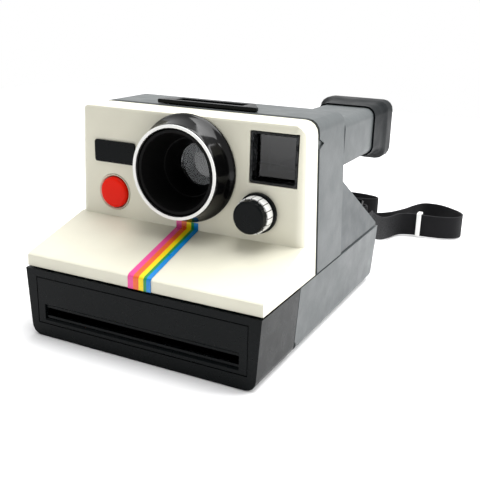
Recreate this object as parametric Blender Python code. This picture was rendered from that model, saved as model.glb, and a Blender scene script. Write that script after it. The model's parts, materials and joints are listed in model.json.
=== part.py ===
"""Box-type instant camera: fixed-focus lens, folding film door with processing rollers, neck strap.

Lengths are in millimetres and become metres in at(). X runs across the camera, Y runs backwards from
the front lip and Z is the height over the table. The origin is the bottom centre of the camera's box.
"""

from math import atan2, cos, hypot, pi, radians, sin

import bmesh
import bpy
from mathutils import Matrix, Vector
from mathutils.geometry import interpolate_bezier

# Driving dimensions
GAP = 0.3  # between touching pieces
WALL = 2.0
HALF_W = 56.0  # at the door's top edge
HALF_W_TOP = 53.6  # at the top of the face
HALF_W_FOOT = 54.0
DOOR_TOP = 30.2
COVER_FOOT = 30.8
BODY_TOP = 96.0
FLASH_TOP = 98.4
LIP_TOP = 36.4
DOOR_FRONT = -1.2
FACE_Y = 36.8
FACE_FOOT = 46.5
SEAM_Y = 51.5
HOUSING_Y = 53.5
HOUSING_BACK = 83.3
DOOR_BACK = 34.9
CHASSIS_Y = 35.4
REAR_Y = 139.7
FINDER_BACK = 150.0
FOOT_RADIUS = 4.5
FACE_RADIUS = 4.0
TOP_RADIUS = 5.5
MIDDLE_Y = (DOOR_FRONT + FINDER_BACK) / 2

LENS = (1.6, 73.2)
RING_Y = 25.1
RING_R = 19.85
FLANGE_R = 23.2
GLASS_Y = 45.6
GLASS_R = 9.3
PLATE_Y = 50.2  # front of the shutter plate
BUTTON = (-36.3, 57.8)
BUTTON_R = 7.0
DIAL = (35.3, 58.9)
DIAL_R = 7.6
STRIPE_WIDTH = 10.8
WINDOW = (30.5, 53.0, 70.8, 92.2)  # left, right, bottom, top
FINDER_X = 40.0
FINDER_Z = 81.4

SLOPE_TOP = (84.0, 66.5)
SLOPE_FOOT = (138.7, 32.0)
SLOPE = atan2(SLOPE_TOP[1] - SLOPE_FOOT[1], SLOPE_FOOT[0] - SLOPE_TOP[0])

HINGE = (34.0, 2.6)
HINGE_PIN_R = 1.0
KNUCKLE_X = (44.6, 50.0)
LATCH = (40.3, 47.5, 15.3, 24.7)  # front, back, bottom, top
ROLLER_Y = 24.0
ROLLER_R = 4.45
FILM_Z = 11.4
GEAR_MODULE = 0.575
GEAR_X = (49.3, 51.3)
MOTOR = (45.6, 38.2)
STRAP_WIDTH = 14.0
STRAP_THICK = 1.2

IVORY = (0.80, 0.78, 0.68)
GREY = (0.09, 0.095, 0.10)
BLACK = (0.02, 0.02, 0.022)
STEEL = (0.62, 0.62, 0.63)


def at(x, y, z):
    """A point of the drawing in metres, in the camera's own frame."""
    return Vector((x, y - MIDDLE_Y, z)) / 1000


def material(name, colour, roughness=0.5, metallic=0.0):
    made = bpy.data.materials.new(name)
    made.use_nodes = True
    shader = made.node_tree.nodes["Principled BSDF"]
    shader.inputs["Base Color"].default_value = (*colour, 1)
    shader.inputs["Roughness"].default_value = roughness
    shader.inputs["Metallic"].default_value = metallic
    return made


def finish(name, mesh, colour, roughness=0.5, metallic=0.0, pivot=None):
    """Names a bmesh as an object with its own material, its origin at pivot."""
    bmesh.ops.remove_doubles(mesh, verts=mesh.verts, dist=1e-6)
    bmesh.ops.recalc_face_normals(mesh, faces=mesh.faces)
    start = at(*pivot) if pivot else Vector((0, 0, 0))
    bmesh.ops.translate(mesh, verts=mesh.verts, vec=-start)
    data = bpy.data.meshes.new(name)
    mesh.to_mesh(data)
    mesh.free()
    made = bpy.data.objects.new(name, data)
    bpy.context.scene.collection.objects.link(made)
    made.location = start
    data.materials.append(material(name, colour, roughness, metallic))
    data.shade_smooth()
    data.set_sharp_from_angle(angle=radians(32))
    return made


def loft(sections):
    """A closed solid through rings of equal length, capped at both ends."""
    mesh = bmesh.new()
    rings = [[mesh.verts.new(point) for point in ring] for ring in sections]
    count = len(rings[0])
    for low, high in zip(rings, rings[1:]):
        for i in range(count):
            j = (i + 1) % count
            mesh.faces.new((low[i], low[j], high[j], high[i]))
    mesh.faces.new(rings[0])
    mesh.faces.new(rings[-1])
    return mesh


def box(low, high):
    x0, y0, z0 = low
    x1, y1, z1 = high
    corners = [(x0, z0), (x1, z0), (x1, z1), (x0, z1)]
    return loft([[at(x, y, z) for x, z in corners] for y in (y0, y1)])


def across(profile, half):
    """A side profile of (y, z) points drawn out between -half(z) and half(z)."""
    return loft([[at(side * half(z), y, z) for y, z in profile] for side in (-1, 1)])


def across_x(profile, x0, x1):
    return loft([[at(x, y, z) for y, z in profile] for x in (x0, x1)])


def along_y(outline, y0, y1):
    """A front outline of (x, z) points drawn out between two depths."""
    return loft([[at(x, y, z) for x, z in outline] for y in (y0, y1)])


def along_z(outline, z0, z1):
    return loft([[at(x, y, z) for x, y in outline] for z in (z0, z1)])


def round_outline(cx, cz, half_w, half_h, radius, steps=4):
    """A rectangle with rounded corners."""
    points = []
    for quarter, (sx, sz) in enumerate([(1, 1), (-1, 1), (-1, -1), (1, -1)]):
        for step in range(steps + 1):
            angle = (quarter + step / steps) * pi / 2
            x = cx + sx * (half_w - radius) + radius * cos(angle)
            z = cz + sz * (half_h - radius) + radius * sin(angle)
            points.append((x, z))
    return points


def circle(radius, count, turn=0.0):
    return [
        (radius * cos(turn + 2 * pi * i / count), radius * sin(turn + 2 * pi * i / count))
        for i in range(count)
    ]


def turned(profile, centre, count=40, axis="Y"):
    """A profile of (radius, position) points turned about an axis. A zero radius is a point."""
    mesh = bmesh.new()
    rings = []
    for radius, along in profile:
        ring = []
        for a, b in circle(max(radius, 0), count) if radius > 0 else [(0, 0)]:
            if axis == "Y":
                point = at(centre[0] + a, along, centre[1] + b)
            elif axis == "X":
                point = at(along, centre[0] + a, centre[1] + b)
            else:
                point = at(centre[0] + a, centre[1] + b, along)
            ring.append(mesh.verts.new(point))
        rings.append(ring)
    closed = profile[0][0] > 0
    pairs = list(zip(rings, rings[1:])) + ([(rings[-1], rings[0])] if closed else [])
    for low, high in pairs:
        for i in range(count):
            j = (i + 1) % count
            corners = [low[i % len(low)], low[j % len(low)], high[j % len(high)], high[i % len(high)]]
            mesh.faces.new(list(dict.fromkeys(corners)))
    return mesh


def tool(name, mesh):
    """A hidden shape for a Boolean."""
    made = finish(name, mesh, BLACK)
    made.hide_render = True
    made.display_type = "WIRE"
    return made


def boolean(target, shape, operation="DIFFERENCE"):
    """Changes the target by a mesh, or by a tool that has changes of its own."""
    name = f"tool_{target.name}_{len(target.modifiers)}"
    change = target.modifiers.new(name, "BOOLEAN")
    change.operation = operation
    change.solver = "EXACT"
    change.object = tool(name, shape) if isinstance(shape, bmesh.types.BMesh) else shape


def cut(target, *meshes):
    for mesh in meshes:
        boolean(target, mesh)


def add(target, *meshes):
    for mesh in meshes:
        boolean(target, mesh, "UNION")


def bore(centre, radius, y0, y1, count=40):
    """A round tool along Y."""
    return along_y([(centre[0] + a, centre[1] + b) for a, b in circle(radius, count)], y0, y1)


def rod(y, z, radius, x0, x1, count=20):
    """A round bar along X."""
    return across_x([(y + a, z + b) for a, b in circle(radius, count)], x0, x1)


def half_width(z, inset=0.0):
    """Half the width of the body at a height."""
    if z >= DOOR_TOP:
        return HALF_W + (HALF_W_TOP - HALF_W) * (z - DOOR_TOP) / (BODY_TOP - DOOR_TOP) - inset
    return HALF_W_FOOT + (HALF_W - HALF_W_FOOT) * z / DOOR_TOP - inset


def foot_outline(inset=0.0, top=DOOR_TOP):
    """The lower body's front outline, with rounded bottom corners."""
    radius = FOOT_RADIUS - inset
    right = [(half_width(top, inset), top), (half_width(FOOT_RADIUS, inset), FOOT_RADIUS)]
    centre = HALF_W_FOOT - FOOT_RADIUS + 0.3
    for step in range(1, 5):
        angle = step * pi / 8
        right.append((centre + radius * cos(angle), FOOT_RADIUS - radius * sin(angle)))
    left = [(-x, z) for x, z in reversed(right)]
    return right + left


def head_outline(inset=0.0, top=BODY_TOP):
    """The upper body's front outline, with rounded top corners."""
    radius = TOP_RADIUS - inset
    centre_x = HALF_W_TOP - TOP_RADIUS
    right = [(half_width(COVER_FOOT - 2, inset), COVER_FOOT - 2)]
    for step in range(5):
        angle = step * pi / 8
        right.append((centre_x + radius * cos(angle), top - TOP_RADIUS + radius * sin(angle)))
    left = [(-x, z) for x, z in reversed(right)]
    return right + left


def hollow(target, profile):
    """Cuts a side profile out of the upper body, a wall in from its sides and its rounded top."""
    core = tool(f"core_{target.name}", across(profile, lambda z: half_width(z, WALL)))
    boolean(core, along_y(head_outline(WALL), -5, 95), "INTERSECT")
    boolean(target, core)


def on_slope(x, down, out):
    """A point a distance down the rear slope from its top, and out from its surface."""
    y = SLOPE_TOP[0] + down * cos(SLOPE) + out * sin(SLOPE)
    z = SLOPE_TOP[1] - down * sin(SLOPE) + out * cos(SLOPE)
    return (x, y, z)


def slope_box(x0, x1, down0, down1, out0, out1):
    corners = [(down0, out0), (down1, out0), (down1, out1), (down0, out1)]
    return loft([[at(*on_slope(x, d, o)) for d, o in corners] for x in (x0, x1)])


# Front cover and what sits in its face


def face_edge(side):
    """What the rounding takes off one upright edge of the face."""
    sections = []
    for z in (FACE_FOOT, BODY_TOP + 1):
        edge = half_width(z)
        outline = [(edge + 1, FACE_Y + FACE_RADIUS), (edge + 1, FACE_Y - 1)]
        outline.append((edge - FACE_RADIUS, FACE_Y - 1))
        for step in range(5):
            angle = step * pi / 8
            x = edge - FACE_RADIUS * (1 - sin(angle))
            outline.append((x, FACE_Y + FACE_RADIUS * (1 - cos(angle))))
        sections.append([at(side * x, y, z) for x, y in outline])
    return loft(sections)


def make_front_cover():
    profile = [(0, COVER_FOOT), (0, LIP_TOP - 0.8), (0.8, LIP_TOP), (FACE_Y, FACE_FOOT)]
    profile += [(FACE_Y, BODY_TOP - 2.0), (FACE_Y + 0.6, BODY_TOP - 0.6), (FACE_Y + 2.0, BODY_TOP)]
    profile += [(SEAM_Y, BODY_TOP), (SEAM_Y, COVER_FOOT)]
    rise = (FACE_FOOT - LIP_TOP) / FACE_Y
    inner_y = FACE_Y + WALL
    inside = [(WALL, COVER_FOOT - 1), (WALL, LIP_TOP + rise * WALL - WALL * 1.04)]
    inside += [(inner_y, FACE_FOOT + rise * WALL - WALL * 1.04), (inner_y, BODY_TOP - WALL)]
    inside += [(SEAM_Y + 1, BODY_TOP - WALL), (SEAM_Y + 1, COVER_FOOT - 1)]
    cover = finish("front_cover", across(profile, half_width), IVORY, 0.35)
    boolean(cover, along_y(head_outline(), -5, 95), "INTERSECT")
    hollow(cover, inside)
    for x, z in SHUTTER_SCREWS:
        add(cover, bore((x, z), 2.6, inner_y - 0.5, PLATE_Y - GAP, 16))
        cut(cover, bore((x, z), 1.2, PLATE_Y - 4.0, PLATE_Y, 12))
    cut(cover, bore(LENS, 19.0, 30, 39.5))
    cut(cover, bore(BUTTON, 8.3, 30, 40))
    cut(cover, bore(DIAL, 4.0, 30, 40, 24))
    left, right, low, top = WINDOW
    cut(cover, box((left, 30, low), (right - 1.4, 40, top)))
    for side in (-1, 1):
        cut(cover, face_edge(side))


def make_seam_frame():
    profile = [(SEAM_Y + GAP, COVER_FOOT), (SEAM_Y + GAP, BODY_TOP - 0.7)]
    profile += [(HOUSING_Y - GAP, BODY_TOP - 0.7), (HOUSING_Y - GAP, COVER_FOOT)]
    frame = finish("seam_frame", across(profile, lambda z: half_width(z, 0.7)), BLACK, 0.4)
    inside = [(SEAM_Y, COVER_FOOT + 2), (SEAM_Y, BODY_TOP - 4), (HOUSING_Y, BODY_TOP - 4)]
    inside += [(HOUSING_Y, COVER_FOOT + 2)]
    cut(frame, across(inside, lambda z: half_width(z, 3.5)))
    boolean(frame, along_y(head_outline(0.7), -5, 95), "INTERSECT")


def make_lens():
    barrel = [(RING_R - 0.2, RING_Y + 0.9), (RING_R + 0.3, RING_Y + 2.2), (20.9, 32.5), (22.6, 34.6)]
    barrel += [(FLANGE_R, 35.6), (FLANGE_R, FACE_Y - GAP), (18.6, FACE_Y - GAP), (18.6, 40.2)]
    barrel += [(16.9, 40.2), (16.9, 38.2), (18.2, RING_Y + 0.9)]
    finish("lens_barrel", turned(barrel, LENS, 56), BLACK, 0.15)
    ring = [(RING_R, RING_Y), (RING_R, RING_Y + 0.6), (18.5, RING_Y + 0.6), (18.5, RING_Y)]
    finish("lens_ring", turned(ring, LENS, 56), (0.85, 0.85, 0.83), 0.35)
    bore_r = GLASS_R + GAP
    baffle = [(17.7, RING_Y + 1.2), (16.4, 38.0), (16.4, 40.0), (bore_r + 1.4, PLATE_Y - 0.6)]
    baffle += [(bore_r, PLATE_Y - 0.6), (bore_r, 44.6), (12.3, 38.4), (12.8, 38.4), (16.4, RING_Y + 1.3)]
    finish("lens_baffle", turned(baffle, LENS, 48), BLACK, 0.6)
    glass = [(0, GLASS_Y), (3.5, GLASS_Y + 0.2), (6.6, GLASS_Y + 0.8), (GLASS_R, GLASS_Y + 1.8)]
    glass += [(GLASS_R, GLASS_Y + 3.4), (0, GLASS_Y + 3.4)]
    finish("taking_lens", turned(glass, LENS, 40), (0.75, 0.8, 0.85), 0.03)


def make_button():
    ring = [(8.1, 36.2), (7.4, 36.9), (7.4, 39.6), (8.1, 39.6)]
    finish("button_ring", turned(ring, BUTTON, 40), (0.75, 0.73, 0.66), 0.35)
    cap = [(0, 35.2), (5.2, 35.2), (6.4, 35.5), (BUTTON_R, 36.3), (BUTTON_R, 40.4), (0, 40.4)]
    pivot = (BUTTON[0], 37.8, BUTTON[1])
    finish("shutter_button", turned(cap, BUTTON, 40), (0.78, 0.04, 0.02), 0.3, pivot=pivot)
    leaf = [(-44.0, 44.5), (-28.0, 44.5), (-28.0, 45.1), (-44.0, 45.1)]
    strip = along_z(leaf, BUTTON[1] - 2.5, BUTTON[1] + 2.5)
    finish("switch_block", strip, (0.35, 0.12, 0.05), 0.5)
    spring = [(3.2, 42.7), (3.2, 44.2), (2.4, 44.2), (2.4, 42.7)]
    finish("button_spring", turned(spring, BUTTON, 20), STEEL, 0.3, 1.0)


def make_dial():
    centre = (DIAL[0], 0, DIAL[1])
    knob = [(0, 26.6), (6.2, 26.6), (6.8, 27.2), (7.1, 29.6), (5.6, 29.6), (5.6, 34.6), (3.7, 34.6)]
    knob += [(3.7, 41.0), (0, 41.0)]
    dial = finish("exposure_dial", turned(knob, DIAL, 40), BLACK, 0.35, pivot=(DIAL[0], 31.0, DIAL[1]))
    for step in range(12):
        angle = 2 * pi * step / 12
        notch = (centre[0] + 7.5 * cos(angle), centre[2] + 7.5 * sin(angle))
        cut(dial, bore(notch, 0.8, 26.0, 30.0, 8))
    scale = [(DIAL_R - 0.2, 29.9), (DIAL_R, 30.1), (DIAL_R, 34.3), (5.9, 34.3), (5.9, 29.9)]
    finish("dial_scale", turned(scale, DIAL, 40), (0.85, 0.85, 0.82), 0.4)
    collar = [(8.2, 34.7), (8.5, 35.0), (8.5, 36.5), (4.2, 36.5), (4.2, 34.7)]
    finish("dial_collar", turned(collar, DIAL, 40), BLACK, 0.4)
    finish("photocell", bore(DIAL, 4.5, 41.5, 46.0, 24), (0.15, 0.16, 0.2), 0.2)


def make_name_plate():
    outline = round_outline(-35.3, 76.0, 10.7, 4.9, 1.2)
    plate = finish("name_plate", along_y(outline, FACE_Y - 0.9, FACE_Y - 0.1), BLACK, 0.25)
    cut(plate, bore(LENS, FLANGE_R + GAP, 30, 40, 56))


def make_stripe():
    """A thin inlaid band from the lens over the shelf and down the lip."""
    rise = (FACE_FOOT - LIP_TOP) / (FACE_Y - 0.8)
    top = LENS[1] - FLANGE_R - 0.2
    face = FACE_Y - 0.05
    outer = [(-0.35, COVER_FOOT), (-0.35, LIP_TOP - 0.6), (0.6, LIP_TOP + 0.35)]
    outer += [(face - 0.3, FACE_FOOT - rise * 0.3 + 0.3), (face - 0.3, top)]
    inner = [(face, top), (face, FACE_FOOT + 0.05), (0.8, LIP_TOP + 0.05), (-0.05, LIP_TOP - 0.75)]
    inner += [(-0.05, COVER_FOOT)]
    left = LENS[0] - STRIPE_WIDTH / 2
    band = across_x(outer + inner, left, left + STRIPE_WIDTH)
    finish("colour_stripe", band, (0.85, 0.35, 0.08), 0.4)


# Shutter and electrics behind the face

SHUTTER_SCREWS = ((-26.0, 88.0), (25.0, 52.5))
BEAM_TILT = radians(18)
BEAM_ARM = 8.0
BEAM = (-27.0, LENS[1])
BEAM_Y = PLATE_Y + 3.7
BLADE_STROKE = 2 * BEAM_ARM * sin(BEAM_TILT)
PLUNGER_Y = PLATE_Y + 9.0


def make_shutter():
    back = PLATE_Y + 1.2
    plate = finish("shutter_plate", box((-37, PLATE_Y, 48.5), (29, back, 91.0)), GREY, 0.5)
    cut(plate, bore(LENS, 5.0, PLATE_Y - 1, back + 1, 32))
    cut(plate, box((-38, PLATE_Y - 1, 48), (-28.4, back + 1, 66.5)))
    add(plate, bore(BEAM, 1.0, PLATE_Y + 0.5, BEAM_Y + 2.3, 16))
    for name, (x, z) in zip(("left", "right"), SHUTTER_SCREWS):
        cut(plate, bore((x, z), 1.5, PLATE_Y - 1, back + 1, 16))
        head = back + GAP
        tip = PLATE_Y - 2.3
        screw = [(0, tip), (1.0, tip), (1.0, head), (2.2, head), (2.2, head + 0.9), (0, head + 1.4)]
        made = finish(f"shutter_screw_{name}", turned(screw, (x, z), 16), STEEL, 0.3, 1.0)
        cut(made, box((x - 1.6, head + 0.9, z - 0.3), (x + 1.6, head + 2, z + 0.3)))
    for name, side, y in (("upper", 1, back + 0.6), ("lower", -1, back + 1.5)):
        outline = [(-34, 3.8), (-34, 11.4), (-25, 11.4), (-13, 7), (11, 7), (11, -7), (-13, -7), (-13, 3.8)]
        outline = [(x, LENS[1] + side * z) for x, z in outline]
        blade = finish(f"shutter_blade_{name}", along_y(outline, y, y + 0.4), BLACK, 0.4, 0.6)
        cut(blade, bore((LENS[0] - side * BLADE_STROKE, LENS[1]), 4.0, y - 1, y + 1, 24))
        x, z = beam_pin(side)
        cut(blade, box((x - 1.4, y - 1, z - 1.6), (x + 1.4, y + 1, z + 1.6)))


def beam_pin(side):
    """Where a pin of the walking beam stands with the shutter closed, for the upper or lower end."""
    x = BEAM[0] - side * BEAM_ARM * sin(BEAM_TILT)
    return (x, BEAM[1] + side * BEAM_ARM * cos(BEAM_TILT))


def make_beam():
    """The walking beam turns about Y and drives the two blades with a pin at each end."""
    tilt = Matrix.Rotation(BEAM_TILT, 2)
    corners = [tilt @ Vector(corner) for corner in ((-2.2, -10), (2.2, -10), (2.2, 10), (-2.2, 10))]
    outline = [(BEAM[0] + corner.x, BEAM[1] + corner.y) for corner in corners]
    pivot = (BEAM[0], BEAM_Y + 0.5, BEAM[1])
    beam = finish("walking_beam", along_y(outline, BEAM_Y, BEAM_Y + 1.0), GREY, 0.4, 0.8, pivot=pivot)
    start = PLATE_Y + 1.5
    add(beam, bore(beam_pin(1), 0.8, start, PLUNGER_Y + 1.0, 12))
    add(beam, bore(beam_pin(-1), 0.8, start, BEAM_Y + 0.5, 12))
    cut(beam, bore(BEAM, 1.3, BEAM_Y - 1, BEAM_Y + 2, 16))
    x, z = beam_pin(1)
    fork = box((x - 3.0, PLUNGER_Y - 0.6, z - 3.2), (x + 5.6, PLUNGER_Y + 0.6, z + 3.2))
    plunger = finish("solenoid_plunger", fork, STEEL, 0.3, 1.0)
    cut(plunger, box((x - 1.4, PLUNGER_Y - 2, z - 1.6), (x + 1.4, PLUNGER_Y + 2, z + 1.6)))
    add(plunger, rod(PLUNGER_Y, z, 1.8, x + 4.6, x + 24.0, 16))
    coil = finish("solenoid_coil", rod(PLUNGER_Y, z, 5.0, x + 12.0, x + 32.0, 28), (0.45, 0.18, 0.06), 0.4)
    cut(coil, rod(PLUNGER_Y, z, 2.2, x + 11.0, x + 30.0, 16))


def make_circuit_board():
    board = finish("circuit_board", box((-50.4, 47.4, 46), (-36, 48.6, 90)), (0.05, 0.2, 0.08), 0.5)
    for x, z, w, h in ((-43.0, 82.0, 8.0, 6.0), (-44.5, 70.0, 5.0, 9.0), (-41.0, 56.0, 6.0, 4.0)):
        add(board, box((x - w / 2, 48.0, z - h / 2), (x + w / 2, 50.4, z + h / 2)))


# Housing, finder and flash socket


def make_main_housing():
    top = BODY_TOP + 0.3
    profile = [(HOUSING_Y, COVER_FOOT), (HOUSING_Y, top - 0.5), (HOUSING_Y + 0.5, top)]
    profile += [(HOUSING_BACK - 3, top), (HOUSING_BACK - 0.9, top - 0.9), (HOUSING_BACK, top - 3)]
    profile += [(HOUSING_BACK, COVER_FOOT)]
    housing = finish("main_housing", across(profile, half_width), GREY, 0.6)
    inside = [(HOUSING_Y - 1, COVER_FOOT - 1), (HOUSING_Y - 1, top - WALL)]
    inside += [(HOUSING_BACK - WALL, top - WALL), (HOUSING_BACK - WALL, SLOPE_TOP[1] + 1)]
    inside += [(HOUSING_BACK + 1, SLOPE_TOP[1] - 3.5)]
    inside += [(HOUSING_BACK + 1, COVER_FOOT - 1)]
    boolean(housing, along_y(head_outline(top=top), -5, 95), "INTERSECT")
    hollow(housing, inside)
    cut(housing, along_y(round_outline(FINDER_X, FINDER_Z, 11.3, 10.8, 2.0), 80, 85))
    cut(housing, box((-18.9, 55.0, 90), (18.9, 64.3, 99)))
    cut(housing, across_x([(HOUSING_Y - 0.3, 83.8), (HOUSING_Y - 0.3, 88.5), (58.5, 86.0)], 52.9, 57))


def make_finder():
    left, right, low, top = WINDOW
    middle = ((left + right) / 2, (low + top) / 2)
    half = ((right - left) / 2, (top - low) / 2)
    front = round_outline(middle[0], middle[1], half[0] - GAP - 0.7, half[1] - GAP, 0.6)
    front = [(x - 0.7, z) for x, z in front]
    frame = finish("finder_frame", along_y(front, FACE_Y - 0.2, SEAM_Y), BLACK, 0.3)
    inner = round_outline(middle[0] - 0.7, middle[1], half[0] - 1.9, half[1] - 1.2, 0.6)
    cut(frame, along_y(inner, 30, 60))
    lens_half = 8.6
    lens = round_outline(middle[0] - 0.7, middle[1], lens_half, lens_half, 0.8)
    finish("finder_front_lens", along_y(lens, 42.0, 43.6), (0.7, 0.75, 0.8), 0.05)
    tube = finish("finder_tube", along_y(round_outline(FINDER_X, FINDER_Z, 14.0, 11.2, 4.2),
                  HOUSING_BACK + GAP, 138.0), GREY, 0.5)
    fillet = [(HOUSING_BACK + GAP, 72.0), (92.0, 72.0), (90.6, 70.1), (86.8, 68.5), (84.6, 67.0)]
    fillet += [(HOUSING_BACK + GAP, 67.0)]
    add(tube, across_x(fillet, 30.2, 50.0))
    add(tube, along_y(round_outline(FINDER_X, FINDER_Z, 10.9, 10.4, 1.8), 56.0, 90.0))
    cut(tube, along_y(round_outline(FINDER_X, FINDER_Z, 9.4, 8.9, 1.0), 50.0, 145.0))
    eye = along_y(round_outline(FINDER_X, FINDER_Z, 9.1, 8.6, 0.9), 133.0, 135.0)
    finish("eyepiece_lens", eye, (0.7, 0.75, 0.8), 0.05)
    sections = []
    back_x, back_z = 37.9, 79.65
    flare = ((124.0, 0.0), (135.0, 0.1), (138.5, 0.5), (141.0, 0.95), (142.5, 1.0), (149.3, 1.0))
    for y, grow in (*flare, (FINDER_BACK, 0.93)):
        half_w = 14.9 + (18.1 - 14.9) * grow
        half_h = 12.1 + (14.65 - 12.1) * grow
        x = FINDER_X + (back_x - FINDER_X) * grow
        z = FINDER_Z + (back_z - FINDER_Z) * grow
        outline = round_outline(x, z, half_w, half_h, 5.0)
        sections.append([at(a, y, b) for a, b in outline])
    cup = finish("eyecup", loft(sections), BLACK, 0.7)
    cut(cup, along_y(round_outline(FINDER_X, FINDER_Z, 14.2, 11.4, 4.3), 120, 138.3))
    cut(cup, along_y(round_outline(FINDER_X, FINDER_Z, 9.4, 8.9, 2.0), 130, 146))
    cut(cup, along_y(round_outline(39.0, back_z, 12.4, 10.4, 3.4), 145, 152))


def make_flash_socket():
    right = [(24.5, 54.2), (24.5, 56.0), (18.5, 66.0)]
    outline = right + [(-x, y) for x, y in reversed(right)]
    socket = finish("flash_socket", along_z(outline, BODY_TOP + 0.6, FLASH_TOP), BLACK, 0.4)
    add(socket, box((-18.6, 55.3, 88.5), (18.6, 64.0, FLASH_TOP - 0.5)))
    cut(socket, box((-16.5, 56.6, 90.0), (16.5, 62.6, 102.0)))
    strip = box((-15.0, 56.9, 90.3), (15.0, 57.5, 91.5))
    contacts = finish("flash_contacts", strip, (0.7, 0.5, 0.2), 0.3, 1.0)
    for i in range(7):
        x = -13.5 + i * 4.5
        add(contacts, box((x - 1.0, 56.9, 91.0), (x + 1.0, 57.5, 96.5)))


# Film chassis, drive and gears


def make_chassis():
    outer = foot_outline()
    chassis = finish("film_chassis", along_y(outer, CHASSIS_Y, REAR_Y), GREY, 0.6)
    cut(chassis, along_y(foot_outline(WALL, DOOR_TOP - WALL), CHASSIS_Y - 1, REAR_Y - WALL))
    heel = [(REAR_Y - 4, -1), (REAR_Y + 1, -1), (REAR_Y + 1, 4)]
    cut(chassis, across_x(heel, -60, 60))
    cut(chassis, box((-39.5, 56, 25), (39.5, 135.5, 33)))
    cut(chassis, rod(*HINGE, 3.6, -60, 60, 32))
    for side in (-1, 1):
        x0, x1 = sorted(side * x for x in KNUCKLE_X)
        add(chassis, box((x0, HINGE[0], HINGE[1] - 1.0), (x1, CHASSIS_Y + 3.5, HINGE[1] + 1.0)))
        add(chassis, rod(*HINGE, 1.9, x0, x1, 24))
    cut(chassis, rod(*HINGE, HINGE_PIN_R + 0.2, -60, 60, 20))
    cut(chassis, box((47.0, CHASSIS_Y - 1, 20), (53.0, 64.0, 33)))
    y0, y1, z0, z1 = LATCH
    cut(chassis, box((-60, y0 - GAP, z0 - GAP), (-50, y1 + 2.5, z1 + GAP)))


def tooth_outline(teeth, turn):
    """A gear's outline as (radius, angle) steps: straight flanks with room between meshing teeth."""
    pitch = GEAR_MODULE * teeth / 2
    root, tip = pitch - 0.68, pitch + 0.5
    half = pi / teeth
    steps = ((-0.62, root), (-0.22, tip), (0.22, tip), (0.62, root))
    return [
        (radius * cos(turn + 2 * half * i + part * half), radius * sin(turn + 2 * half * i + part * half))
        for i in range(teeth)
        for part, radius in steps
    ]


def gear(name, teeth, centre, turn, hole=0):
    x0, x1 = GEAR_X
    outline = [(centre[0] + a, centre[1] + b) for a, b in tooth_outline(teeth, turn)]
    made = finish(name, across_x(outline, x0, x1), (0.75, 0.72, 0.62), 0.5, pivot=((x0 + x1) / 2, *centre))
    if hole:
        cut(made, rod(*centre, hole, x0 - 1, x1 + 1, 20))
    return made


def meshing_turn(angle, teeth, turn, next_teeth):
    """The turn of a gear that meshes with its driver, from the direction of their line of centres."""
    phase = (turn - angle) * teeth / (2 * pi)
    return angle + pi + (0.5 - phase) * 2 * pi / next_teeth


def centre_distance(teeth, next_teeth):
    return GEAR_MODULE * (teeth + next_teeth) / 2


UPPER_ROLLER = (ROLLER_Y, FILM_Z + 4.6)
LOWER_ROLLER = (ROLLER_Y, FILM_Z - 4.6)
TEETH = {"motor": 10, "transfer": 19, "idler": 28, "roller": 16, "pick": 30}


def gear_layout():
    """Centres and turns of the train: motor, transfer, idler, then the rollers and the pick gear."""
    to_idler = centre_distance(TEETH["idler"], TEETH["roller"])
    lean = radians(13.2)
    idler = (UPPER_ROLLER[0] + to_idler * cos(lean), UPPER_ROLLER[1] + to_idler * sin(lean))
    near = centre_distance(TEETH["motor"], TEETH["transfer"])
    far = centre_distance(TEETH["transfer"], TEETH["idler"])
    dy, dz = idler[0] - MOTOR[0], idler[1] - MOTOR[1]
    span = hypot(dy, dz)
    along = (near**2 - far**2 + span**2) / (2 * span)
    aside = (near**2 - along**2) ** 0.5
    transfer = (MOTOR[0] + (along * dy - aside * dz) / span, MOTOR[1] + (along * dz + aside * dy) / span)
    reach = centre_distance(TEETH["idler"], TEETH["pick"])
    drop = radians(-13.0)
    pick = (idler[0] + reach * cos(drop), idler[1] + reach * sin(drop))
    places = {"motor": (MOTOR, 0.0)}
    for name, centre, driver in (
        ("transfer", transfer, "motor"),
        ("idler", idler, "transfer"),
        ("upper", UPPER_ROLLER, "idler"),
        ("lower", LOWER_ROLLER, "upper"),
        ("pick", pick, "idler"),
    ):
        start, turn = places[driver]
        angle = atan2(centre[1] - start[1], centre[0] - start[0])
        driver_teeth = TEETH.get(driver, TEETH["roller"])
        teeth = TEETH.get(name, TEETH["roller"])
        places[name] = (centre, meshing_turn(angle, driver_teeth, turn, teeth))
    return places


def make_drive():
    places = gear_layout()
    x0, x1 = GEAR_X
    motor = finish("drive_motor", rod(*MOTOR, 6.2, 18.0, 44.0, 32), STEEL, 0.35, 0.9)
    add(motor, rod(*MOTOR, 2.4, 43.0, 45.5, 20))
    cut(motor, rod(*MOTOR, 1.1, 40.0, 46.0, 16))
    pinion = gear("motor_pinion", TEETH["motor"], *places["motor"])
    add(pinion, rod(*MOTOR, 0.9, 41.0, x0 + 0.5, 16))
    for name in ("transfer", "idler", "pick"):
        centre, turn = places[name]
        wheel = gear(f"{name}_gear", TEETH[name], centre, turn)
        add(wheel, rod(*centre, 1.2, x0 - 1.6, x1 + 0.5, 16))
    for name in ("upper", "lower"):
        centre, turn = places[name]
        roller = finish(f"{name}_roller", rod(*centre, ROLLER_R - 0.05, -46.5, 46.5, 40), STEEL, 0.2, 1.0,
                        pivot=(0, *centre))
        add(roller, rod(*centre, 1.5, -49.2, x1 - 0.2, 24))
        gear(f"{name}_roller_gear", TEETH["roller"], centre, turn, hole=1.6)
    arm = finish("pick_arm", box((-48.6, 60, 24.4), (-46.2, 134, 26.4)), STEEL, 0.3, 1.0)
    add(arm, box((-48.6, 131.5, 20.5), (-46.2, 134, 25)))


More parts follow.
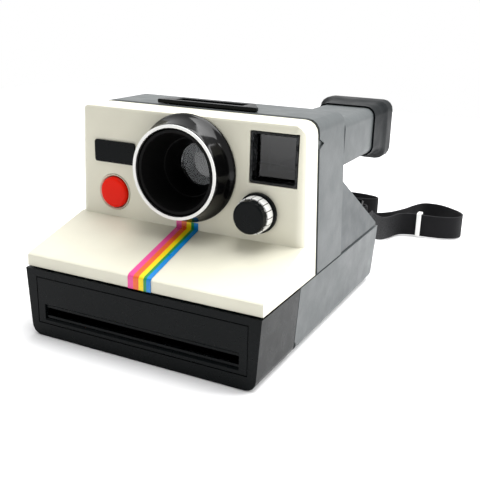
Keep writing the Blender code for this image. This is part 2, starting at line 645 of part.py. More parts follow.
def make_contacts():
    """The two spring contacts that touch the film pack's battery, on one strip."""
    strip = finish("battery_contacts", box((-25, 111, 2.3), (25, 116, 2.8)), (0.7, 0.5, 0.2), 0.3, 1.0)
    for x in (-22.0, 22.0):
        leaf = [(98.0, 3.6), (104.0, 2.5), (112.0, 2.4), (112.0, 2.7), (104.2, 3.0), (98.6, 4.2)]
        add(strip, across_x(leaf, x - 3, x + 3))


# Film door


def make_film_door():
    shell = along_y(foot_outline(), DOOR_FRONT, DOOR_BACK)
    door = finish("film_door", shell, BLACK, 0.4, pivot=(0, *HINGE))
    cut(door, along_y(foot_outline(WALL, DOOR_TOP - WALL), DOOR_FRONT + 2.6, DOOR_BACK + 1))
    cut(door, box((48.8, 17.5, 1.3), (51.8, 30.5, 8)))
    cut(door, box((-50.6, -3, 5.8), (50.6, DOOR_FRONT + 1.0, 27.0)))
    cut(door, box((-46.8, -3, 9.6), (46.8, 3, 13.2)))
    for side in (-1, 1):
        x0, x1 = sorted((side * (KNUCKLE_X[0] - GAP), side * (KNUCKLE_X[1] + GAP)))
        cut(door, box((x0, HINGE[0] - 3.0, -1), (x1, 36, HINGE[1] + 3.0)))
        low, high = sorted((side * 41.0, side * 44.0))
        add(door, rod(*HINGE, 1.9, low, high, 24), box((low, 30, 1.5), (high, HINGE[0], 3.6)))
    cut(door, rod(*HINGE, HINGE_PIN_R + 0.2, -45.0, 45.0, 20))
    bezel = [(DOOR_FRONT + 0.1, 26.7), (DOOR_FRONT + 0.7, 26.7), (DOOR_FRONT + 0.7, 6.1)]
    bezel += [(DOOR_FRONT + 0.1, 6.1)]
    panel = finish("door_panel", across_x(bezel, -50.3, 50.3), BLACK, 0.35)
    slot = [(DOOR_FRONT - 0.5, 16.0), (DOOR_FRONT + 1.5, 13.2), (DOOR_FRONT + 1.5, 9.6)]
    slot += [(DOOR_FRONT - 0.5, 6.8)]
    cut(panel, across_x(slot, -46.8, 46.8))
    for name, side in (("left", -1), ("right", 1)):
        low, high = sorted((side * 47.6, side * 48.7))
        plate = [(18.5, 2.3), (29.5, 2.3), (29.5, 24.5), (18.5, 24.5)]
        bracket = finish(f"roller_bracket_{name}", across_x(plate, low, high), STEEL, 0.35, 1.0)
        for centre in (UPPER_ROLLER, LOWER_ROLLER):
            cut(bracket, rod(*centre, 1.6, low - 1, high + 1, 24))
    finish("door_hinge_pin", rod(*HINGE, HINGE_PIN_R, -50.0, 50.0, 16), STEEL, 0.3, 1.0)


def make_latch():
    """A slider in the chassis's left side, which lets the film door go when it is pulled back."""
    y0, y1, z0, z1 = LATCH
    latch = finish("door_latch", box((-55.8, y0, z0), (-52.8, y1, z1)), (0.7, 0.55, 0.08), 0.4)
    for i in range(3):
        cut(latch, box((-57, y0 + 1.4 + i * 1.9, z0 + 0.8), (-55.3, y0 + 2.3 + i * 1.9, z1 - 0.8)))


# Rear cover, mirror, counter


def make_rear_cover():
    start = HOUSING_BACK + GAP
    lower = REAR_Y - 1.2
    profile = [(start, COVER_FOOT), (start, SLOPE_TOP[1]), SLOPE_TOP, SLOPE_FOOT, (lower, COVER_FOOT)]

    def half(z):
        return 55.2 - (z - COVER_FOOT) * 0.07

    cover = finish("rear_cover", across(profile, half), GREY, 0.6)
    drop = WALL / cos(SLOPE)
    inside = [(start - 1, COVER_FOOT - 1), (start - 1, SLOPE_TOP[1] - drop + 0.64)]
    inside += [(SLOPE_TOP[0], SLOPE_TOP[1] - drop), (SLOPE_FOOT[0] - 2, SLOPE_FOOT[1] - drop + 1.26)]
    inside += [(SLOPE_FOOT[0] - 3, COVER_FOOT - 1)]
    cut(cover, across(inside, lambda z: half(z) - WALL))
    cut(cover, slope_box(-48.5, -43.5, 44.0, 50.0, -4, 1))
    for name, side in (("left", -1), ("right", 1)):
        x = side * 40.0
        lug = finish(f"strap_lug_{name}", slope_box(x - 11.5, x + 11.5, 46, 53, GAP, 1.5), BLACK, 0.5)
        add(lug, slope_box(x - 10.5, x + 10.5, 48, 51, 1.0, 6.0))
        cut(lug, slope_box(x - 8.2, x + 8.2, 40, 60, 1.5, 4.3))


def make_mirror():
    finish("mirror", slope_box(-38, 38, 5.0, 56.0, -4.2, -2.5), (0.9, 0.9, 0.92), 0.02, 1.0)


COUNTER = (-46.2, 117.0)


def make_counter():
    ring = [(6.2, 32.2), (6.2, 34.0), (1.2, 34.0), (1.2, 32.2)]
    wheel = turned(ring, COUNTER, 30, "Z")
    finish("counter_wheel", wheel, (0.85, 0.85, 0.82), 0.5, pivot=(COUNTER[0], COUNTER[1], 33.1))
    pin = [(1.0, DOOR_TOP + GAP), (1.0, 34.6), (0, 34.6)]
    pin = [(0, DOOR_TOP + GAP)] + pin
    finish("counter_pin", turned(pin, COUNTER, 16, "Z"), STEEL, 0.3, 1.0)


# Strap

STRAP_ROUTE = (
    (40.0, 129.9, 40.8), (40.3, 143.0, 35.0), (41.2, 160.0, 26.5), (42.0, 177.0, 18.5), (42.0, 196.0, 11.5),
    (42.6, 213.0, 7.8), (46.0, 225.0, 7.4), (53.0, 229.0, 7.4), (62.0, 229.4, 7.4), (72.0, 231.0, 7.4),
    (80.0, 236.0, 7.4), (80.5, 245.5, 7.4), (73.0, 254.0, 7.4), (63.0, 260.0, 7.4), (53.5, 259.0, 7.4),
    (48.5, 249.0, 7.4), (45.0, 237.0, 7.4), (37.0, 222.0, 7.4), (20.0, 212.0, 7.4), (-10.0, 212.0, 7.4),
    (-45.0, 212.0, 7.4), (-54.0, 218.0, 7.4), (-45.0, 224.0, 7.4), (-10.0, 224.0, 7.4), (14.0, 225.0, 7.4),
    (22.0, 231.0, 7.4), (13.0, 237.0, 7.4), (-10.0, 236.0, 7.4), (-45.0, 236.0, 7.4), (-54.0, 242.0, 7.4),
    (-45.0, 248.0, 7.4), (-10.0, 248.0, 7.4), (14.0, 249.0, 7.4), (22.0, 255.0, 7.4), (13.0, 261.0, 7.4),
    (-10.0, 261.0, 7.4), (-50.0, 259.0, 7.4), (-74.0, 246.0, 7.4), (-80.0, 222.0, 7.4), (-72.0, 198.0, 7.6),
    (-57.0, 181.0, 13.5), (-47.0, 163.0, 24.5), (-41.0, 144.0, 34.6), (-40.0, 129.9, 40.8),
)
STRAP_FLAT = 17.0  # length that stays flat at each lug
STRAP_TURN = 34.0  # length over which each end then turns upright


def smooth_route(points, steps):
    """Points along a curve through the route, with tangents from each point's neighbours."""
    route = [Vector(point) for point in points]
    ends = [route[0] * 2 - route[1], *route, route[-1] * 2 - route[-2]]
    curve = [route[0]]
    for i in range(1, len(ends) - 2):
        start, end = ends[i], ends[i + 1]
        reach = (end - start).length / 3
        lead = start + (end - ends[i - 1]).normalized() * reach
        trail = end - (ends[i + 2] - start).normalized() * reach
        curve += [Vector(point) for point in interpolate_bezier(start, lead, trail, end, steps + 1)[1:]]
    return curve


def make_strap():
    curve = smooth_route(STRAP_ROUTE, 3)
    lengths = [0.0]
    for a, b in zip(curve, curve[1:]):
        lengths.append(lengths[-1] + (b - a).length)
    sections = []
    for i, point in enumerate(curve):
        tangent = (curve[min(i + 1, len(curve) - 1)] - curve[max(i - 1, 0)]).normalized()
        level = Vector((tangent.y, -tangent.x, 0)).normalized()
        upright = level.cross(tangent).normalized()
        end = lengths[-1] - lengths[i]
        near = min(max(min(lengths[i], end) - STRAP_FLAT, 0) / STRAP_TURN, 1)
        turn = pi / 2 * near**2 * (3 - 2 * near)
        sign = 1 if lengths[i] < end else -1
        width = level * cos(turn) * sign + upright * sin(turn)
        width.normalize()
        thick = tangent.cross(width).normalized()
        wide, thin = width * STRAP_WIDTH / 2, thick * STRAP_THICK / 2
        corners = [point - wide - thin, point + wide - thin, point + wide + thin, point - wide + thin]
        sections.append([at(*corner) for corner in corners])
    finish("neck_strap", loft(sections), BLACK, 0.8)
    middle = (57.5, 229.25, 7.6)
    low = (middle[0] - 1.4, middle[1] - 2.6, 0.1)
    high = (middle[0] + 1.4, middle[1] + 2.6, 15.6)
    keeper = finish("strap_keeper", box(low, high), (0.85, 0.85, 0.83), 0.4)
    cut(keeper, box((low[0] - 1, low[1] + 1.1, -1), (high[0] + 1, high[1] - 1.1, high[2] - 1.1)))
    return lengths[-1]


def clear_scene():
    for thing in list(bpy.data.objects):
        bpy.data.objects.remove(thing, do_unlink=True)


def main():
    clear_scene()
    for make in (
        make_front_cover, make_seam_frame, make_lens, make_button, make_dial, make_name_plate, make_stripe,
        make_shutter, make_beam, make_circuit_board, make_main_housing, make_finder, make_flash_socket,
        make_chassis, make_drive, make_contacts, make_film_door, make_latch, make_rear_cover, make_mirror,
        make_counter,
    ):
        make()
    length = make_strap()
    print(f"strap length {length:.0f} mm")


main()
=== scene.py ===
"""The look of a box-type instant camera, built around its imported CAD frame. Lengths are in metres."""

import json
from math import cos, pi, radians, sin

import bmesh
import bpy
from mathutils import Matrix, Vector
from mathutils.geometry import interpolate_bezier


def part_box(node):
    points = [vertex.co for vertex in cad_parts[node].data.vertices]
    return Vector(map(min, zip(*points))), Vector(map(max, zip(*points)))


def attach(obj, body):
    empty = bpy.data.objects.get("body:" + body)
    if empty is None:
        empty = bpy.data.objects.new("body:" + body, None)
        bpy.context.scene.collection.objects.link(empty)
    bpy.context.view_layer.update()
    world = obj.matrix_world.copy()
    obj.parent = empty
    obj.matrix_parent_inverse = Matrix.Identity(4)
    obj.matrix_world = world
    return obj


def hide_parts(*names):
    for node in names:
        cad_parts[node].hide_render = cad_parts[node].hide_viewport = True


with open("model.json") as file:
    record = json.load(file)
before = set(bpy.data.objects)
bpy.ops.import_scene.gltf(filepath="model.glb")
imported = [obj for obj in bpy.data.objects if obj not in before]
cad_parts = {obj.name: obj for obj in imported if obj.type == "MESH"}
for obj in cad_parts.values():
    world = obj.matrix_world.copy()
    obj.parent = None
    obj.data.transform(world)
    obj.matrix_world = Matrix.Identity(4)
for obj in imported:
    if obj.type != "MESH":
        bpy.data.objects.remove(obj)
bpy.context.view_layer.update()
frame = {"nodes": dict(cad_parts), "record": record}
NODES = frame["nodes"]
BODY_OF = {node: body for body, nodes in frame["record"]["behaviour"]["bodies"].items() for node in nodes}

# Camera
CAMERA_PLACE = Vector((0.1593, -0.3009, 0.1413))
CAMERA_AZIMUTH = radians(26.66)
CAMERA_ELEVATION = radians(17.97)
CAMERA_ROLL = radians(1.43)
CAMERA_LENS = 55.64
SENSOR_WIDTH = 36.0

# Stage
FLOOR_HALF = 0.7
FLOOR_DROP = 0.0003  # keeps the floor clear of the camera's base
SOFTBOXES = (  # name, place, target, side, power
    ("softbox_top", (0.1, 0.15, 0.8), (0, 0.05, 0.05), 0.6, 8),
    ("softbox_right", (0.75, 0.45, 0.55), (0.22, 0.25, 0.0), 0.5, 6),
)
CARD_SCALE = (1.8, 0.8, 1)
CARD_PLACE = (-0.15, -0.75, 0.55)
CARD_TURN = (radians(90), 0, radians(12))

# Lenses
TAKING_LENS_CROWN = 0.0013
FINDER_LENS_DEPTH = 0.0012

# Strap
STRAP_WIDTH = 0.014
STRAP_THICK = 0.0012
STRAP_FLAT = 0.017  # length that stays flat at each lug
STRAP_TURN = 0.034  # length over which each end then turns upright
STRAP_ROUTE = (
    (0.04, 0.0555, 0.0408), (0.0403, 0.0686, 0.035), (0.0412, 0.0856, 0.0265), (0.042, 0.1026, 0.0185),
    (0.042, 0.1216, 0.0115), (0.0426, 0.1386, 0.0078), (0.046, 0.1506, 0.0074), (0.053, 0.1546, 0.0074),
    (0.062, 0.155, 0.0074), (0.072, 0.1566, 0.0074), (0.08, 0.1616, 0.0074), (0.0805, 0.1711, 0.0074),
    (0.073, 0.1796, 0.0074), (0.063, 0.1856, 0.0074), (0.0535, 0.1846, 0.0074), (0.0485, 0.1746, 0.0074),
    (0.045, 0.1626, 0.0074), (0.037, 0.1476, 0.0074), (0.02, 0.1376, 0.0074), (-0.01, 0.1376, 0.0074),
    (-0.045, 0.1376, 0.0074), (-0.054, 0.1436, 0.0074), (-0.045, 0.1496, 0.0074), (-0.01, 0.1496, 0.0074),
    (0.014, 0.1506, 0.0074), (0.022, 0.1566, 0.0074), (0.013, 0.1626, 0.0074), (-0.01, 0.1616, 0.0074),
    (-0.045, 0.1616, 0.0074), (-0.054, 0.1676, 0.0074), (-0.045, 0.1736, 0.0074), (-0.01, 0.1736, 0.0074),
    (0.014, 0.1746, 0.0074), (0.022, 0.1806, 0.0074), (0.013, 0.1866, 0.0074), (-0.01, 0.1866, 0.0074),
    (-0.05, 0.1846, 0.0074), (-0.074, 0.1716, 0.0074), (-0.08, 0.1476, 0.0074), (-0.072, 0.1236, 0.0076),
    (-0.057, 0.1066, 0.0135), (-0.047, 0.0886, 0.0245), (-0.041, 0.0696, 0.0346), (-0.04, 0.0555, 0.0408),
)


# Materials


class Look:
    """A Principled material, with helpers that add procedural detail to it."""

    def __init__(self, name, colour, roughness, metallic=0.0, **sockets):
        self.material = bpy.data.materials.new(name)
        self.material.use_nodes = True
        self.tree = self.material.node_tree
        self.shader = self.tree.nodes["Principled BSDF"]
        self.colour = colour
        self.shader.inputs["Base Color"].default_value = (*colour, 1)
        self.shader.inputs["Roughness"].default_value = roughness
        self.shader.inputs["Metallic"].default_value = metallic
        for socket, value in sockets.items():
            self.shader.inputs[socket.replace("_", " ")].default_value = value
        self.roughness = roughness
        self.place = self.node("TexCoord").outputs["Object"]

    def node(self, kind, inputs=None, **settings):
        made = self.tree.nodes.new(f"ShaderNode{kind}")
        for key, value in settings.items():
            setattr(made, key, value)
        for key, value in (inputs or {}).items():
            if isinstance(value, bpy.types.NodeSocket):
                self.tree.links.new(value, made.inputs[key])
            else:
                made.inputs[key].default_value = value
        return made

    def link(self, value, socket):
        self.tree.links.new(value, self.shader.inputs[socket])

    def noise(self, size, detail=4.0, stretch=(1, 1, 1)):
        """Soft noise, with features of about that size."""
        scaled = self.node("Mapping", {"Vector": self.place, "Scale": stretch}).outputs[0]
        return self.node("TexNoise", {"Vector": scaled, "Scale": 1 / size, "Detail": detail}).outputs["Fac"]

    def math(self, operation, a, b=0.0):
        return self.node("Math", {0: a, 1: b}, operation=operation).outputs[0]

    def span(self, value, low, high, to_low, to_high):
        sockets = {"Value": value, "From Min": low, "From Max": high, "To Min": to_low, "To Max": to_high}
        return self.node("MapRange", sockets).outputs[0]

    def mix(self, factor, a, b):
        made = self.node("Mix", data_type="RGBA")
        self.tree.links.new(factor, made.inputs[0])
        for index, value in ((6, a), (7, b)):
            if isinstance(value, bpy.types.NodeSocket):
                self.tree.links.new(value, made.inputs[index])
            else:
                made.inputs[index].default_value = (*value, 1)
        return made.outputs[2]

    def ramp(self, value, steps, interpolation="CONSTANT"):
        made = self.node("ValToRGB", {"Fac": value})
        ramp = made.color_ramp
        ramp.interpolation = interpolation
        while len(ramp.elements) < len(steps):
            ramp.elements.new(1.0)
        for element, (position, colour) in zip(ramp.elements, steps):
            element.position = position
            element.color = (*colour, 1)
        return made.outputs["Color"]

    def bump(self, height, depth, normal=None):
        """Adds a bump of that depth and returns its normal."""
        sockets = {"Height": height, "Distance": depth, "Strength": 1.0}
        if normal:
            sockets["Normal"] = normal
        made = self.node("Bump", sockets).outputs[0]
        self.link(made, "Normal")
        return made

    def uneven(self, size=0.03, amount=0.12, rough=0.08):
        """Varies the colour and the roughness a little over the surface."""
        cloud = self.noise(size, 6.0)
        darker = tuple(value * (1 - amount) for value in self.colour)
        lighter = tuple(min(1.0, value * (1 + amount)) for value in self.colour)
        colour = self.mix(self.span(cloud, 0.35, 0.65, 0.0, 1.0), darker, lighter)
        self.link(colour, "Base Color")
        low, high = self.roughness - rough, self.roughness + rough
        self.link(self.span(self.noise(size / 3, 8.0), 0.3, 0.7, low, high), "Roughness")
        return colour


def moulded(name, colour, roughness, grain=0.0004, depth=0.00002, amount=0.05, **sockets):
    """Moulded plastic with a fine spark-eroded grain."""
    look = Look(name, colour, roughness, **sockets)
    look.uneven(0.025, amount, 0.06)
    cells = look.node("TexVoronoi", {"Vector": look.place, "Scale": 1 / (grain * 2)}).outputs["Distance"]
    look.bump(look.noise(grain * 6, 2.0), depth * 1.5, look.bump(cells, depth))
    return look.material


def smooth_plastic(name, colour, roughness, amount=0.03, **sockets):
    """Polished plastic: a faint flow ripple and fine scratches in its gloss."""
    look = Look(name, colour, roughness, **sockets)
    look.uneven(0.02, amount, 0.05)
    look.bump(look.noise(0.012, 1.0), 0.00002)
    return look.material


def metal(name, colour, roughness, stretch=(1, 1, 30)):
    look = Look(name, colour, roughness, 1.0)
    lines = look.noise(0.004, 3.0, stretch)
    look.link(look.span(lines, 0.3, 0.7, roughness * 0.7, roughness * 1.4), "Roughness")
    look.bump(lines, 0.00001)
    return look.material


def glass(name, colour, coat=0.4):
    look = Look(name, colour, 0.02, IOR=1.5, Transmission_Weight=1.0, Coat_Weight=coat)
    look.link(look.span(look.noise(0.006, 2.0), 0.3, 0.7, 0.005, 0.02), "Roughness")
    return look.material


def black(name, colour, roughness, **settings):
    """Black moulding that mirrors less of the white table than its neighbours do."""
    return moulded(name, colour, roughness, Specular_IOR_Level=0.1, **settings)


def window_moulding():
    """The glossy, slightly wavy sides of the finder's window, which catch the light in curved streaks."""
    look = Look("window_moulding", (0.002, 0.0025, 0.003), 0.08, Specular_IOR_Level=0.3)
    streaks = look.noise(0.004, 2.0)
    look.link(look.span(streaks, 0.3, 0.7, 0.04, 0.16), "Roughness")
    look.bump(streaks, 0.0012)
    return look.material


def make_materials():
    return {
        "ivory": smooth_plastic("ivory_plastic", (0.72, 0.70, 0.58), 0.36, Specular_IOR_Level=0.35),
        "pale": smooth_plastic("pale_plastic", (0.70, 0.68, 0.56), 0.4),
        "white": smooth_plastic("white_plastic", (0.88, 0.88, 0.86), 0.35),
        "grey": moulded("grey_textured_plastic", (0.074, 0.083, 0.085), 0.42, Specular_IOR_Level=0.35),
        # Painted shade: the rear cover is the same grey plastic, coloured darker to stand for the shade on
        # its faces turned from the light
        "dark": moulded("grey_plastic_painted_shade", (0.045, 0.053, 0.056), 0.42, Specular_IOR_Level=0.35),
        "black": black("black_satin_plastic", (0.0016, 0.0026, 0.003), 0.28, grain=0.0003, depth=0.00001),
        "gloss": smooth_plastic(
            "black_gloss_plastic", (0.002, 0.002, 0.0022), 0.12, Specular_IOR_Level=0.2
        ),
        "matt": black("black_matt_plastic", (0.002, 0.002, 0.002), 0.5, grain=0.0003),
        "red": smooth_plastic("red_plastic", (0.82, 0.012, 0.002), 0.32, Specular_IOR_Level=0.1),
        "yellow": smooth_plastic("yellow_plastic", (0.8, 0.6, 0.08), 0.35),
        "gear": moulded("gear_plastic", (0.72, 0.69, 0.58), 0.5, grain=0.0002, depth=0.00001),
        "board": smooth_plastic("board_lacquer", (0.03, 0.16, 0.06), 0.35, 0.15),
        "phenolic": moulded("phenolic_board", (0.28, 0.1, 0.04), 0.5),
        "steel": metal("bright_steel", (0.62, 0.62, 0.63), 0.25),
        "blackened": metal("blackened_steel", (0.02, 0.02, 0.022), 0.4),
        "brass": metal("contact_brass", (0.78, 0.58, 0.28), 0.25),
        "mirror": metal("mirror_glass", (0.92, 0.92, 0.94), 0.03, (1, 1, 1)),
        "copper": metal("coil_winding", (0.55, 0.2, 0.08), 0.3, (60, 1, 1)),
        "rubber": moulded(
            "eyecup_rubber", (0.002, 0.0035, 0.0045), 0.4, grain=0.0005, Specular_IOR_Level=0.06
        ),
        "glass": glass("clear_lens_glass", (0.9, 0.93, 0.95)),
        # Painted shade: the finder lens is tinted near black in place of the shade seen through the finder
        "finder_glass": glass("finder_lens_glass_painted_shade", (0.07, 0.075, 0.08), 0.3),
        "sensor": glass("sensor_glass", (0.15, 0.16, 0.2)),
        "window": window_moulding(),
        "stripe": stripe_material(),
        "scale": scale_material(),
        "webbing": webbing_material(),
    }


STRIPE_BANDS = (
    (0.0, (0.80, 0.06, 0.30)),
    (0.24, (0.86, 0.13, 0.02)),
    (0.48, (0.90, 0.68, 0.0)),
    (0.69, (0.01, 0.26, 0.07)),
    (0.82, (0.0, 0.22, 0.62)),
)


def stripe_material():
    """Plain bands of colour printed side by side."""
    look = Look("printed_band", (0.9, 0.4, 0.1), 0.32)
    low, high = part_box("colour_stripe")
    across = look.node("SeparateXYZ", {"Vector": look.place}).outputs["X"]
    share = look.span(across, low.x, high.x, 0.0, 1.0)
    bands = look.ramp(share, STRIPE_BANDS)
    ink = look.span(look.noise(0.0006, 3.0), 0.3, 0.7, 0.94, 1.04)
    look.link(look.node("VectorMath", {0: bands, "Scale": ink}, operation="SCALE").outputs[0], "Base Color")
    look.link(look.span(look.noise(0.01, 5.0), 0.3, 0.7, 0.26, 0.38), "Roughness")
    look.bump(look.noise(0.0005, 2.0), 0.000006)
    return look.material


SCALE_MARKS = 16


def scale_material():
    """White ring divided by black lines into equal fields."""
    look = Look("dial_print", (0.85, 0.85, 0.82), 0.4)
    low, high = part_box("dial_scale")
    centre = (low + high) / 2
    moved = look.node("VectorMath", {0: look.place, 1: centre}, operation="SUBTRACT").outputs[0]
    parts = look.node("SeparateXYZ", {"Vector": moved})
    angle = look.math("ARCTAN2", parts.outputs["Z"], parts.outputs["X"])
    field = look.math("FRACT", look.math("MULTIPLY", angle, SCALE_MARKS / (2 * pi)))
    line = look.math("GREATER_THAN", look.math("ABSOLUTE", look.math("SUBTRACT", field, 0.5)), 0.44)
    look.link(look.mix(line, (0.82, 0.82, 0.80), (0.015, 0.015, 0.015)), "Base Color")
    look.link(look.span(look.noise(0.004, 5.0), 0.3, 0.7, 0.3, 0.5), "Roughness")
    return look.material


def webbing_material():
    """Black woven tape: ribs across it, offset from row to row."""
    sheen = {"Sheen_Weight": 0.03, "Sheen_Roughness": 0.4}
    look = Look("woven_webbing", (0.006, 0.006, 0.007), 0.7, Specular_IOR_Level=0.15, **sheen)
    along = look.node("UVMap").outputs[0]
    rows = {"Vector": along, "Scale": 1.0, "Mortar Size": 0.00016, "Mortar Smooth": 0.8,
            "Brick Width": 0.0012, "Row Height": 0.0007}
    bricks = look.node("TexBrick", rows)
    threads = look.math("SUBTRACT", 1.0, bricks.outputs["Fac"])
    fuzz = look.noise(0.0004, 3.0)
    pale = look.span(fuzz, 0.3, 0.7, 0.0, 1.0)
    look.link(look.mix(pale, (0.003, 0.003, 0.0035), (0.010, 0.010, 0.012)), "Base Color")
    look.bump(fuzz, 0.00005, look.bump(threads, 0.0002))
    return look.material


# Meshes


def link_mesh(name, mesh, material):
    """Makes a smooth-shaded object of a bmesh."""
    bmesh.ops.recalc_face_normals(mesh, faces=mesh.faces)
    data = bpy.data.meshes.new(name)
    mesh.to_mesh(data)
    mesh.free()
    data.materials.append(material)
    data.shade_smooth()
    data.set_sharp_from_angle(angle=radians(35))
    made = bpy.data.objects.new(name, data)
    bpy.context.scene.collection.objects.link(made)
    return made


def stand_for(piece, node):
    """Rides the piece on the node's body in the node's place."""
    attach(piece, BODY_OF[node])
    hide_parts(node)
    return piece


def turned(name, profile, centre, material, count=96):
    """A profile of (radius, y) points turned about an axis along Y through centre."""
    mesh = bmesh.new()
    rings = []
    for radius, y in profile:
        ring = []
        for i in range(count if radius > 0 else 1):
            angle = 2 * pi * i / count
            point = (centre.x + radius * cos(angle), y, centre.z + radius * sin(angle))
            ring.append(mesh.verts.new(point))
        rings.append(ring)
    for low, high in zip(rings, rings[1:]):
        for i in range(count):
            j = (i + 1) % count
            corners = [low[i % len(low)], low[j % len(low)], high[j % len(high)], high[i % len(high)]]
            mesh.faces.new(list(dict.fromkeys(corners)))
    return link_mesh(name, mesh, material)


def soften(node, width, segments=2):
    """Rounds a CAD node's edges and shades it smoothly, leaving its own mesh as it is."""
    piece = NODES[node]
    data = piece.data
    for name in ("custom_normal", "sharp_edge", "sharp_face"):
        if name in data.attributes:
            data.attributes.remove(data.attributes[name])
    data.shade_smooth()
    weld = piece.modifiers.new("weld", "WELD")
    weld.merge_threshold = 0.000002
    flat = piece.modifiers.new("flat", "DECIMATE")
    flat.decimate_type = "DISSOLVE"
    flat.angle_limit = radians(0.4)
    if width:
        bevel = piece.modifiers.new("bevel", "BEVEL")
        bevel.width = width
        bevel.segments = segments
        bevel.limit_method = "ANGLE"
        bevel.angle_limit = radians(32)
        bevel.harden_normals = True
    normals = piece.modifiers.new("normals", "WEIGHTED_NORMAL")
    normals.keep_sharp = True


# The look of each CAD node: its material, and how far its edges are rounded
LOOKS = {
    "ivory": ("front_cover 0.0006",),
    "pale": ("button_ring 0.0002",),
    "white": ("lens_ring 0.0002", "strap_keeper 0.0004", "counter_wheel 0.0002"),
    "grey": ("main_housing 0.0005", "film_chassis 0.0005", "finder_tube 0.0008"),
    # The rear cover takes the grey plastic darkened as painted shade
    "dark": ("rear_cover 0.0005",),
    "black": (
        "film_door 0.0004", "door_panel 0.0002", "seam_frame 0.0002",
        "flash_socket 0.0004", "dial_collar 0.0002", "exposure_dial 0.0002", "strap_lug_left 0.0004",
        "strap_lug_right 0.0004", "shutter_plate 0.0002", "name_plate 0.0002",
    ),
    "gloss": ("lens_barrel 0.0003",),
    "matt": ("lens_baffle 0.0001",),
    "window": ("finder_frame 0.0003",),
    "red": ("shutter_button 0.0003",),
    "yellow": ("door_latch 0.0003",),
    "gear": (
        "motor_pinion 0.0001", "transfer_gear 0.0001", "idler_gear 0.0001", "pick_gear 0.0001",
        "upper_roller_gear 0.0001", "lower_roller_gear 0.0001",
    ),
    "board": ("circuit_board 0.0002",),
    "phenolic": ("switch_block 0.0001",),
    "steel": (
        "upper_roller 0.0002", "lower_roller 0.0002", "roller_bracket_left 0.0001",
        "roller_bracket_right 0.0001", "door_hinge_pin 0.0001", "shutter_screw_left 0.0001",
        "shutter_screw_right 0.0001",
        "solenoid_plunger 0.0001", "button_spring 0.0001", "pick_arm 0.0002", "counter_pin 0.0001",
        "drive_motor 0.0004",
    ),
    "blackened": ("shutter_blade_upper 0", "shutter_blade_lower 0", "walking_beam 0.0001"),
    "copper": ("solenoid_coil 0.0003",),
    "brass": ("flash_contacts 0.0001", "battery_contacts 0.0001"),
    "mirror": ("mirror 0.0001",),
    "rubber": ("eyecup 0.0007",),
    "glass": ("taking_lens 0", "finder_front_lens 0.0002", "eyepiece_lens 0.0002"),
    "sensor": ("photocell 0.0002",),
    "stripe": ("colour_stripe 0",),
    "scale": ("dial_scale 0.0002",),
    "webbing": ("neck_strap 0",),
}


def dress_nodes(materials):
    for look, entries in LOOKS.items():
        for entry in entries:
            node, width = entry.split()
            data = NODES[node].data
            data.materials.clear()
            data.materials.append(materials[look])
            soften(node, float(width))


# Strap


def smooth_route(points, steps):
    """Points along a curve through the route, with tangents from each point's neighbours."""
    route = [Vector(point) for point in points]
    ends = [route[0] * 2 - route[1], *route, route[-1] * 2 - route[-2]]
    curve = [route[0]]
    for i in range(1, len(ends) - 2):
        start, end = ends[i], ends[i + 1]
        reach = (end - start).length / 3
        lead = start + (end - ends[i - 1]).normalized() * reach
        trail = end - (ends[i + 2] - start).normalized() * reach
        curve += [Vector(point) for point in interpolate_bezier(start, lead, trail, end, steps + 1)[1:]]
    return curve


def tape_outline(columns=8):
    """The tape's section as (across, through) shares, from -1 to 1, with rounded selvedges."""
    top = [(-0.97 + 1.94 * i / columns, 1.0) for i in range(columns + 1)]
    edge = [(1.0, 0.45), (1.0, -0.45)]
    back = [(-x, -z) for x, z in top]
    return top + edge + back + [(-x, -z) for x, z in edge]


def make_strap(materials):
    curve = smooth_route(STRAP_ROUTE, 10)
    lengths = [0.0]
    for a, b in zip(curve, curve[1:]):
        lengths.append(lengths[-1] + (b - a).length)
    outline = tape_outline()
    mesh = bmesh.new()
    uv = mesh.loops.layers.uv.new("UVMap")
    rings = []
    for i, point in enumerate(curve):
        tangent = (curve[min(i + 1, len(curve) - 1)] - curve[max(i - 1, 0)]).normalized()
        level = Vector((tangent.y, -tangent.x, 0)).normalized()
        upright = level.cross(tangent).normalized()
        end = lengths[-1] - lengths[i]
        near = min(max(min(lengths[i], end) - STRAP_FLAT, 0) / STRAP_TURN, 1)
        turn = pi / 2 * near**2 * (3 - 2 * near)
        sign = 1 if lengths[i] < end else -1
        width = (level * cos(turn) * sign + upright * sin(turn)).normalized()
        thick = tangent.cross(width).normalized()
        wide, thin = width * STRAP_WIDTH / 2, thick * STRAP_THICK / 2
        rings.append([mesh.verts.new(point + wide * a + thin * b) for a, b in outline])
    count = len(outline)
    for k in range(len(rings) - 1):
        for i in range(count):
            j = (i + 1) % count
            face = mesh.faces.new((rings[k][i], rings[k][j], rings[k + 1][j], rings[k + 1][i]))
            places = ((outline[i], k), (outline[j], k), (outline[j], k + 1), (outline[i], k + 1))
            for loop, ((across, _), row) in zip(face.loops, places):
                loop[uv].uv = (lengths[row], across * STRAP_WIDTH / 2)
    mesh.faces.new(rings[0])
    mesh.faces.new(rings[-1])
    strap = link_mesh("neck_strap_tape", mesh, materials["webbing"])
    stand_for(strap, "neck_strap")


# Lenses


def arc_profile(radius, front, depth, back, steps=10):
    """A lens's (radius, y) profile: a crowned front, its rim and a flat back."""
    crown = [(radius * i / steps, front + depth * (i / steps) ** 2) for i in range(steps + 1)]
    return [*crown, (radius, back), (0, back)]


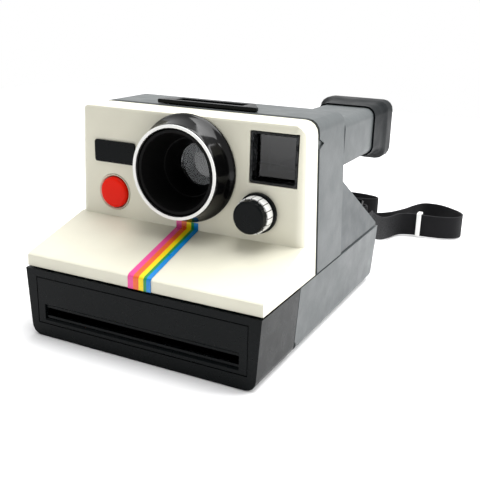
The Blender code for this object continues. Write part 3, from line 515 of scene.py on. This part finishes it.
def dished_block(low, high, depth, steps=28):
    """A rectangular lens whose front sinks in from its corners, with a flat back."""
    mesh = bmesh.new()
    grid = []
    for i in range(steps + 1):
        column = []
        for j in range(steps + 1):
            u, v = 2 * i / steps - 1, 2 * j / steps - 1
            x = low.x + (high.x - low.x) * i / steps
            z = low.z + (high.z - low.z) * j / steps
            y = low.y + depth * (1 - (u * u + v * v) / 2)
            column.append((mesh.verts.new((x, y, z)), mesh.verts.new((x, high.y, z))))
        grid.append(column)
    for i in range(steps):
        for j in range(steps):
            corners = (grid[i][j], grid[i + 1][j], grid[i + 1][j + 1], grid[i][j + 1])
            for side in (0, 1):
                mesh.faces.new([corner[side] for corner in corners])
    rim = [grid[i][0] for i in range(steps)] + [grid[steps][j] for j in range(steps)]
    rim += [grid[steps - i][steps] for i in range(steps)] + [grid[0][steps - j] for j in range(steps)]
    for near, far in zip(rim, rim[1:] + rim[:1]):
        mesh.faces.new((near[0], far[0], far[1], near[1]))
    return mesh


def make_lenses(materials):
    low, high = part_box("taking_lens")
    centre = (low + high) / 2
    radius = (high.x - low.x) / 2
    profile = arc_profile(radius, low.y, TAKING_LENS_CROWN, high.y)
    element = turned("taking_lens_element", profile, centre, materials["glass"])
    stand_for(element, "taking_lens")
    low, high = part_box("finder_front_lens")
    block = dished_block(low, high, FINDER_LENS_DEPTH)
    element = link_mesh("finder_lens_element", block, materials["finder_glass"])
    stand_for(element, "finder_front_lens")


# Stage


def add_softbox(name, place, target, side, power):
    data = bpy.data.lights.new(name, "AREA")
    data.shape = "RECTANGLE"
    data.size = data.size_y = side
    data.energy = power
    light = bpy.data.objects.new(name, data)
    light.location = place
    light.rotation_euler = (Vector(target) - Vector(place)).to_track_quat("-Z", "Y").to_euler()
    bpy.context.scene.collection.objects.link(light)


def plane(name, half, colour, roughness, tint, **sockets):
    """A square plane that isn't part of the object, with a slightly uneven colour."""
    mesh = bmesh.new()
    bmesh.ops.create_grid(mesh, x_segments=2, y_segments=2, size=half)
    look = Look(name, colour, roughness, **sockets)
    look.uneven(0.4, tint, 0.05)
    return link_mesh(name, mesh, look.material)


def make_stage():
    floor = plane("table_top", FLOOR_HALF, (0.93, 0.93, 0.935), 0.7, 0.005, Specular_IOR_Level=0.2)
    floor.location.z = -FLOOR_DROP
    world = bpy.data.worlds.new("studio")
    bpy.context.scene.world = world
    world.use_nodes = True
    background = world.node_tree.nodes["Background"]
    background.inputs["Color"].default_value = (1, 1, 1, 1)
    background.inputs["Strength"].default_value = 1.0
    for box in SOFTBOXES:
        add_softbox(*box)


def make_card():
    """A dark card in front of the object, out of sight: it shades the face and calms the black gloss."""
    flag = plane("dark_card", 0.5, (0.03, 0.03, 0.03), 0.9, 0.05)
    flag.scale = CARD_SCALE
    flag.location = CARD_PLACE
    flag.rotation_euler = CARD_TURN
    flag.visible_camera = False


def make_camera():
    data = bpy.data.cameras.new("camera")
    data.lens = CAMERA_LENS
    data.sensor_width = SENSOR_WIDTH
    data.clip_start, data.clip_end = 0.01, 50.0
    camera = bpy.data.objects.new("camera", data)
    forward = Vector((
        -sin(CAMERA_AZIMUTH) * cos(CAMERA_ELEVATION),
        cos(CAMERA_AZIMUTH) * cos(CAMERA_ELEVATION),
        -sin(CAMERA_ELEVATION),
    ))
    turn = forward.to_track_quat("-Z", "Y").to_matrix().to_4x4() @ Matrix.Rotation(CAMERA_ROLL, 4, "Z")
    camera.matrix_world = Matrix.Translation(CAMERA_PLACE) @ turn
    bpy.context.scene.collection.objects.link(camera)
    bpy.context.scene.camera = camera


def main():
    bpy.context.scene.view_settings.view_transform = "Standard"
    make_camera()
    make_stage()
    make_card()
    materials = make_materials()
    dress_nodes(materials)
    make_strap(materials)
    make_lenses(materials)


main()
